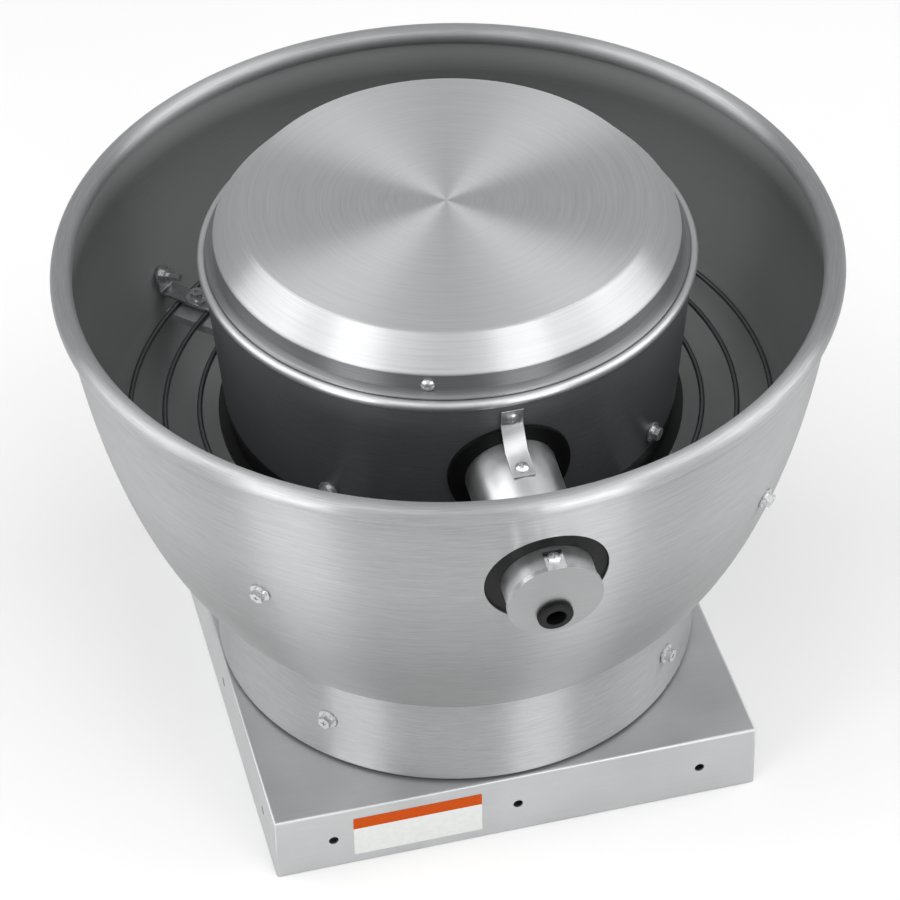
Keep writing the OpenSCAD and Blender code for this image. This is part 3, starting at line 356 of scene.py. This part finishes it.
# Conduit's cover: a pressed aluminium disc with a turned edge and a tab, screwed
# on from above. Its face is satin, and the die has polished its edge.
disc = rolled_sheet("pressed aluminium disc", "#A0A1A2", "#979899", 0.36, grain=0.0008, length=0.03)
tree = disc.node_tree
skin = tree.nodes["Principled BSDF"]
satin = skin.inputs["Base Color"].links[0].from_socket
slope = math.radians(8.5)
normal = node(tree, "TexCoord").outputs["Normal"]
face = vector(tree, "DOT_PRODUCT", normal, (0, -math.cos(slope), -math.sin(slope)), result="Value")
edge = ramp(tree, face, 0.97, 0.9)
feed(tree, skin, {
    "Base Color": mix_colours(tree, edge, satin, "#DCDDDE"),
    "Roughness": ramp(tree, edge, 0.0, 1.0, 0.36, 0.12)})
eased("conduit_cover", "housing", 0.0005, disc)

# Gaskets and grommet: moulded black rubber rings round the conduit where it
# passes each wall, and a lipped grommet in the cover's hole. They stay matt.
rubber = plated(
    "moulded black rubber", "#0B0C0C", "#070707", 0.5, metallic=0.0, scale=700.0, specular=0.2)
dress(rubber, "conduit_gasket", "band_gasket", "cable_grommet")


# Junction box and run capacitor: a folded aluminium box with its lid, an ivory
# terminal block inside, and a drawn can held on the deck by a clip.
dress(satin_strip, "junction_box", "junction_box_lid", "capacitor_clip")
dress(drawn_tube, "run_capacitor")
dress(plated("ivory moulded plastic", "#D8D2BC", "#CEC8B2", 0.5, metallic=0.0), "terminal_block")


# Motor: cast aluminium end bells and a ribbed housing, painted dark grey, on four
# rubber feet. Inside are the lamination stack, varnished coils and bearings.
dress(plated("dark grey motor paint", "#34373B", "#2A2D31", 0.45, metallic=0.0, scale=1200.0),
      "motor_lower_bell", "motor_housing", "motor_upper_bell")
dress(rubber, "motor_feet", "shaft_seal")
dress(zinc, "motor_bolts", "motor_studs")
dress(plated("steel laminations", "#5A5A5C", "#3E3E40", 0.5), "stator_core", "rotor_core")
dress(plated("varnished copper coils", "#B5652E", "#8A4520", 0.4), "stator_windings")
ground_steel = plated("ground steel", "#C8C8C8", "#A8A8A8", 0.25)
dress(ground_steel, "lower_bearing", "upper_bearing")


# Rotor and wheel: a ground steel shaft carries an aluminium hub, and the riveted
# wheel of nine backward curved aluminium blades between a plate and a spun ring.
dress(ground_steel, "motor_shaft", "shaft_key")
dress(rubber, "slinger")
dress(zinc, "wheel_nut")
wheel_metal = turned_metal("spun aluminium wheel", "#BFC0C1", "#A9AAAB", 0.36, 0.5)[0]
dress(wheel_metal, "wheel_hub", "wheel_back_plate", "wheel_inlet_ring")
dress(rolled_sheet("aluminium blade sheet", "#BEBFC0", "#ADAEAF", 0.38), "wheel_blades")


# Cap: a lid spun from aluminium sheet and brushed on the lathe from rim to centre,
# so its top shows a bright cross of light. One screw holds it to a clip.
spun_cap, tree, skin, at = turned_metal("spun aluminium cap", "#C4C5C6", "#B9BABB", 0.42, 0.93, run=0.12)
brushed_height = 0.0245
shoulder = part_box("motor_cap")[1][2] - brushed_height
# Painted shade: the skirt below the shoulder gets a darker copy of the cone's colour.
skirt_shade = ramp(tree, at["z"], shoulder, shoulder - 0.0008)
dull = mix_colours(tree, at["streaks"], "#7E7F80", "#8F9091")
feed(tree, skin, {"Base Color": mix_colours(tree, skirt_shade, at["colour"], dull)})
dress(spun_cap, "motor_cap")
dress(zinc, "cap_screw")


# Floor: a plain pale sweep under the fan, which is not part of it. It is matt,
# and painted light makes it lighter with distance.
pale, tree, skin, place = finish("pale floor", 0.0, 0.9, specular=0.0)
painted_far_light = ramp(tree, vector(tree, "LENGTH", place, result="Value"), 1.8, 6.0)
feed(tree, skin, {"Base Color": mix_colours(tree, painted_far_light, "#E0E0DF", "#FBFBFA")})
bpy.ops.object.select_all(action="DESELECT")
bpy.ops.mesh.primitive_plane_add(size=40, location=(0, 0, -0.0005))
floor = bpy.context.object
floor.name = "floor"
floor.data.materials.append(pale)


# Light: a soft even room, three broad soft boxes above the front, a tall one on
# each side, and two low strips that draw the bright bands on the drum. Angles are
# in degrees from the camera's side, lengths in metres, watts per square metre.
world = bpy.data.worlds.new("studio")
bpy.context.scene.world = world
world.use_nodes = True
room = world.node_tree.nodes["Background"]
room.inputs["Color"].default_value = linear("#F2F3F4")
room.inputs["Strength"].default_value = 0.76
camera_side = -13.66
aim_height = 0.3
watts = 4


def direction(turn, rise):
    return Vector((math.sin(turn) * math.cos(rise), -math.cos(turn) * math.cos(rise), math.sin(rise)))


def soft_box(name, azimuth, rise, distance, wide, tall, glow):
    place = direction(math.radians(azimuth + camera_side), math.radians(rise)) * distance
    lamp = bpy.data.lights.new(name, "AREA")
    lamp.shape = "RECTANGLE"
    lamp.size = wide
    lamp.size_y = tall
    lamp.energy = glow * watts * wide * tall
    made = bpy.data.objects.new(name, lamp)
    bpy.context.scene.collection.objects.link(made)
    made.location = place + Vector((0, 0, aim_height))
    made.rotation_mode = "QUATERNION"
    made.rotation_quaternion = place.to_track_quat("Z", "Y")
    made.visible_camera = False


soft_box("front box", 0, 56, 3.0, 2.2, 1.9, 0.87)
soft_box("left front box", -46, 48, 3.0, 1.9, 1.9, 0.79)
soft_box("right front box", 46, 48, 3.0, 1.9, 1.9, 0.79)
soft_box("left box", -92, 42, 2.8, 1.9, 2.9, 1.7)
soft_box("right box", 92, 42, 2.8, 1.9, 2.9, 1.7)
soft_box("left strip", -41, 10, 3.0, 1.2, 0.7, 7.0)
soft_box("right strip", 33, 10, 3.0, 1.2, 0.7, 7.0)


# Camera: the photograph's own angle, worked out from the fan's known sizes. The
# focus is in pixels of that picture, and the camera rolls and shifts a little.
turn = math.radians(camera_side)
rise = math.radians(41.09)
roll = math.radians(-1.25)
distance = 3.17085
focus = 3815.58
picture = 900
sensor = 36
aim = Vector((0, 0, 0.24592))
shift = 0.0015
back = direction(turn, rise)
right = Vector((math.cos(turn), math.sin(turn), 0))
up = back.cross(right)
across = math.cos(roll) * right + math.sin(roll) * up
upward = -math.sin(roll) * right + math.cos(roll) * up
where = aim + back * distance - across * shift
camera = bpy.data.objects.new("camera", bpy.data.cameras.new("camera"))
bpy.context.scene.collection.objects.link(camera)
camera.data.sensor_width = sensor
camera.data.lens = focus * sensor / picture
camera.data.clip_start = 0.1
camera.data.clip_end = 60
camera.matrix_world = Matrix((
    (across[0], upward[0], back[0], where[0]),
    (across[1], upward[1], back[1], where[1]),
    (across[2], upward[2], back[2], where[2]),
    (0, 0, 0, 1)))
bpy.context.scene.camera = camera
